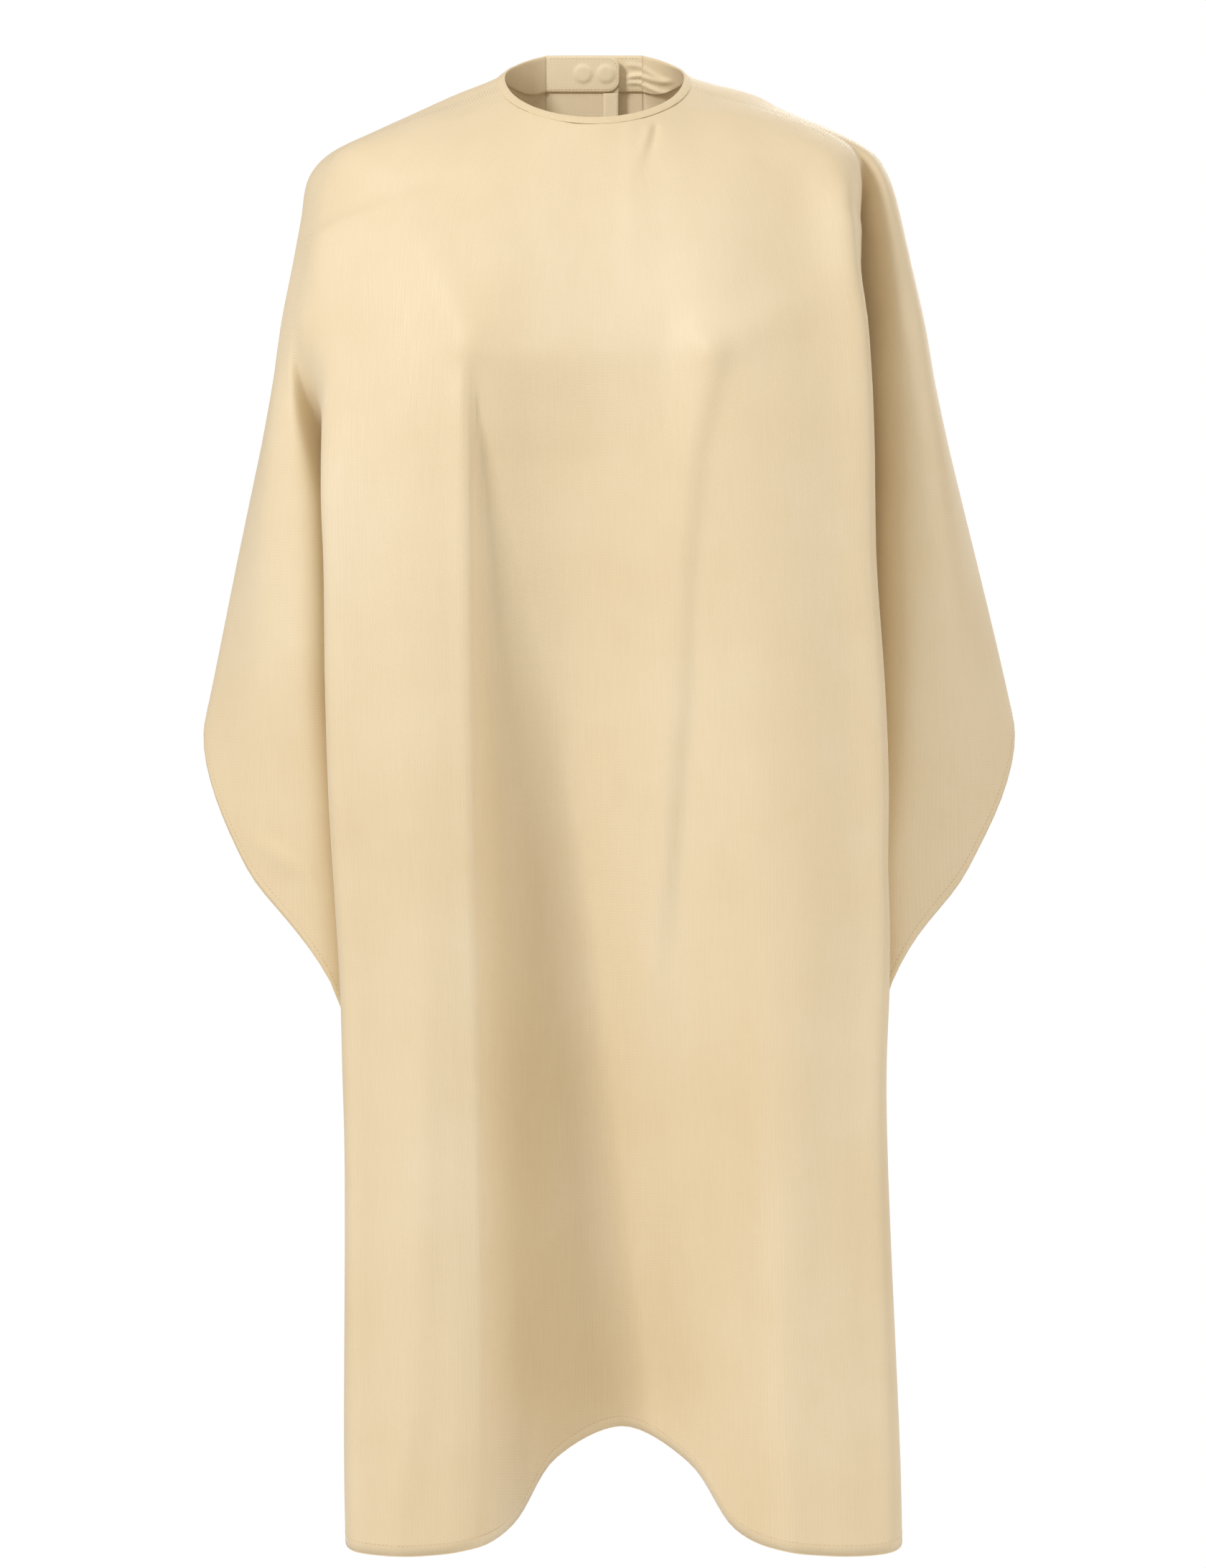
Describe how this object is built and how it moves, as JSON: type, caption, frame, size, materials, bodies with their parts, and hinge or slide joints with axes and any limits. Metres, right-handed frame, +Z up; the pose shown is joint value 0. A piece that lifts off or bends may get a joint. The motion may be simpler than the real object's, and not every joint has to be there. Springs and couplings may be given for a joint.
{
  "type": "barber cape",
  "caption": "Plain light-cloth salon cape as worn: neck hole with a bound edge, wings over the arms, back slit and press-stud closure at the nape.",
  "frame": {"origin": "middle of the neck opening, at the level of its two sides", "axes": "+Z up, the wearer faces -Y, +X towards the viewer's right when the cape is seen from the front"},
  "size_m": [0.625, 0.2678, 1.1439],
  "materials": {
    "cape_cloth": "light satin-faced polyester, cream beige",
    "binding_cloth": "same cloth folded double and stitched",
    "lining_cloth": "matt plain-weave lining",
    "interlining": "stiff non-woven interlining",
    "snap_metal": "nickel-plated pressed steel"
  },
  "bodies": {
    "cape": {"cape_panel": "cape_cloth", "neck_binding": "binding_cloth"},
    "over_half": {"over_tab_outer": "binding_cloth", "over_tab_interlining": "interlining", "over_tab_lining": "lining_cloth", "back_half_over": "cape_cloth", "slit_facing_over": "lining_cloth", "snap_cap_1": "snap_metal", "snap_cap_2": "snap_metal", "snap_cap_3": "snap_metal", "snap_socket_1": "snap_metal", "snap_socket_2": "snap_metal", "snap_socket_3": "snap_metal"},
    "under_half": {"under_tab_outer": "binding_cloth", "under_tab_interlining": "interlining", "under_tab_lining": "lining_cloth", "back_half_under": "cape_cloth", "slit_facing_under": "lining_cloth", "snap_stud_1": "snap_metal", "snap_stud_2": "snap_metal", "snap_rivet_1": "snap_metal", "snap_rivet_2": "snap_metal"}
  },
  "joints": [
    {"name": "over_half_fold", "type": "hinge", "parent": "cape", "child": "over_half", "pos_m": [0.038, 0.06842, 0.02383], "axis": [0, 0.1184, -0.993], "range_deg": [0, 90]},
    {"name": "under_half_fold", "type": "hinge", "parent": "cape", "child": "under_half", "pos_m": [-0.038, 0.06067, 0.0229], "axis": [0, -0.1184, 0.993], "range_deg": [0, 18]}
  ],
  "couplings": [
    {"joint": "under_half_fold", "follows": "over_half_fold", "ratio": 0.2}
  ]
}
